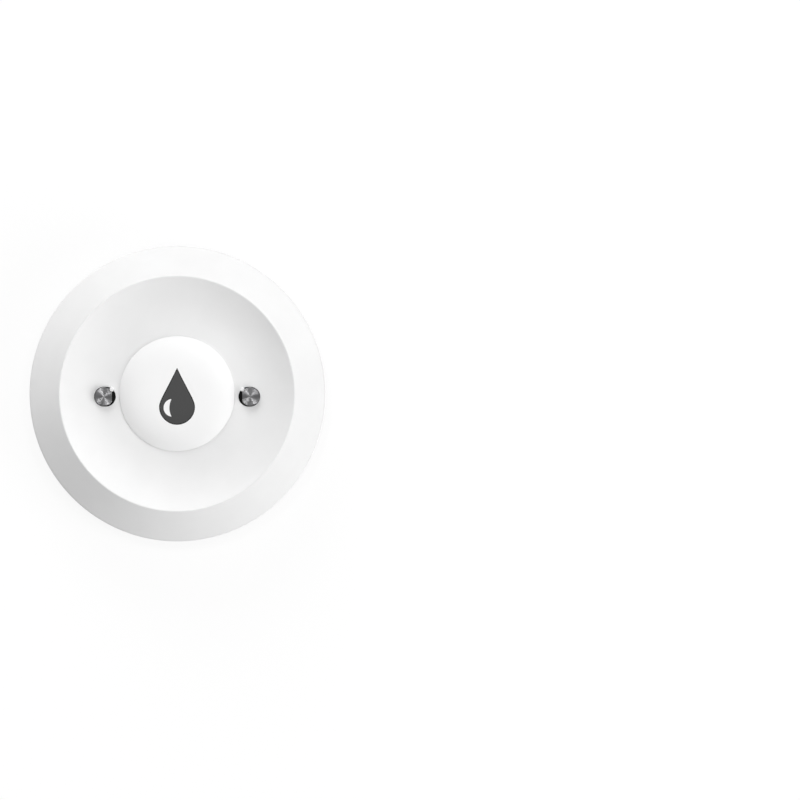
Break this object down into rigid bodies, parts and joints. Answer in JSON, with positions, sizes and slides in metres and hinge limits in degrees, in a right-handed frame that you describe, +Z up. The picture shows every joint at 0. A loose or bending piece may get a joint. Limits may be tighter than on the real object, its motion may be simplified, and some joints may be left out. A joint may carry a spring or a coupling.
{
  "type": "water leak sensor",
  "caption": "Flat round water leak sensor with a dished top, a domed push button, steel drip probes in the dish, and flood probes, feet and a coin-turned battery hatch below.",
  "frame": {"origin": "on the floor, under the middle of the round body", "axes": "+Z up out of the dish, +Y towards the droplet's point, +X to the right hand drip probe"},
  "size_m": [0.06, 0.06, 0.0158],
  "materials": {
    "white_housing": "fine matt moulded ABS",
    "white_button": "satin moulded ABS with a printed droplet",
    "probe_steel": "turned stainless steel",
    "black_silicone": "matt black silicone",
    "seal_rubber": "matt dark grey rubber",
    "foot_silicone": "soft light grey silicone",
    "screw_steel": "zinc plated steel",
    "spring_brass": "gold-plated spring bronze",
    "cell_steel": "nickel-plated steel",
    "black_plastic": "moulded black nylon",
    "board_laminate": "green solder mask on glass laminate",
    "module_laminate": "blue solder mask on glass laminate",
    "can_steel": "tinned sheet steel",
    "chip_ceramic": "fired ceramic with tinned ends",
    "led_epoxy": "clear epoxy on a white body"
  },
  "bodies": {
    "housing": {"top_housing": "white_housing", "bottom_cover": "white_housing", "main_seal": "seal_rubber", "housing_screws": "screw_steel", "board_screws": "screw_steel", "drip_probe_nuts": "screw_steel", "flood_probe_nuts": "screw_steel", "coin_cell": "cell_steel", "battery_holder": "black_plastic", "positive_clip": "spring_brass", "negative_contact": "spring_brass", "main_board": "board_laminate", "radio_module": "module_laminate", "shield_can": "can_steel", "sense_chip": "black_plastic", "chip_parts": "chip_ceramic", "status_led": "led_epoxy", "tact_switch": "black_plastic", "foot_back_right": "foot_silicone", "foot_back_left": "foot_silicone", "foot_front_left": "foot_silicone", "foot_front_right": "foot_silicone", "drip_probe_left": "probe_steel", "flood_probe_left": "probe_steel", "drip_seal_left": "black_silicone", "flood_seal_left": "black_silicone", "drip_contact_left": "spring_brass", "flood_contact_left": "spring_brass", "drip_probe_right": "probe_steel", "flood_probe_right": "probe_steel", "drip_seal_right": "black_silicone", "flood_seal_right": "black_silicone", "drip_contact_right": "spring_brass", "flood_contact_right": "spring_brass"},
    "button": {"button_cap": "white_button", "button_seal": "seal_rubber", "button_clip": "screw_steel"},
    "plunger": {"switch_plunger": "white_button"},
    "hatch": {"battery_hatch": "white_housing", "hatch_seal": "seal_rubber"}
  },
  "joints": [
    {"name": "button_press", "type": "slide", "parent": "housing", "child": "button", "axis": [0, 0, -1], "range_m": [0, 0.00025], "stiffness_N_per_m": 1500, "springref_m": -0.001},
    {"name": "switch_press", "type": "slide", "parent": "housing", "child": "plunger", "axis": [0, 0, -1], "range_m": [0, 0.00025]},
    {"name": "hatch_turn", "type": "hinge", "parent": "housing", "child": "hatch", "pos_m": [0, 0, 0.001], "axis": [0, 0, -1], "range_deg": [0, 50]}
  ],
  "couplings": [
    {"joint": "switch_press", "follows": "button_press", "ratio": 1}
  ]
}
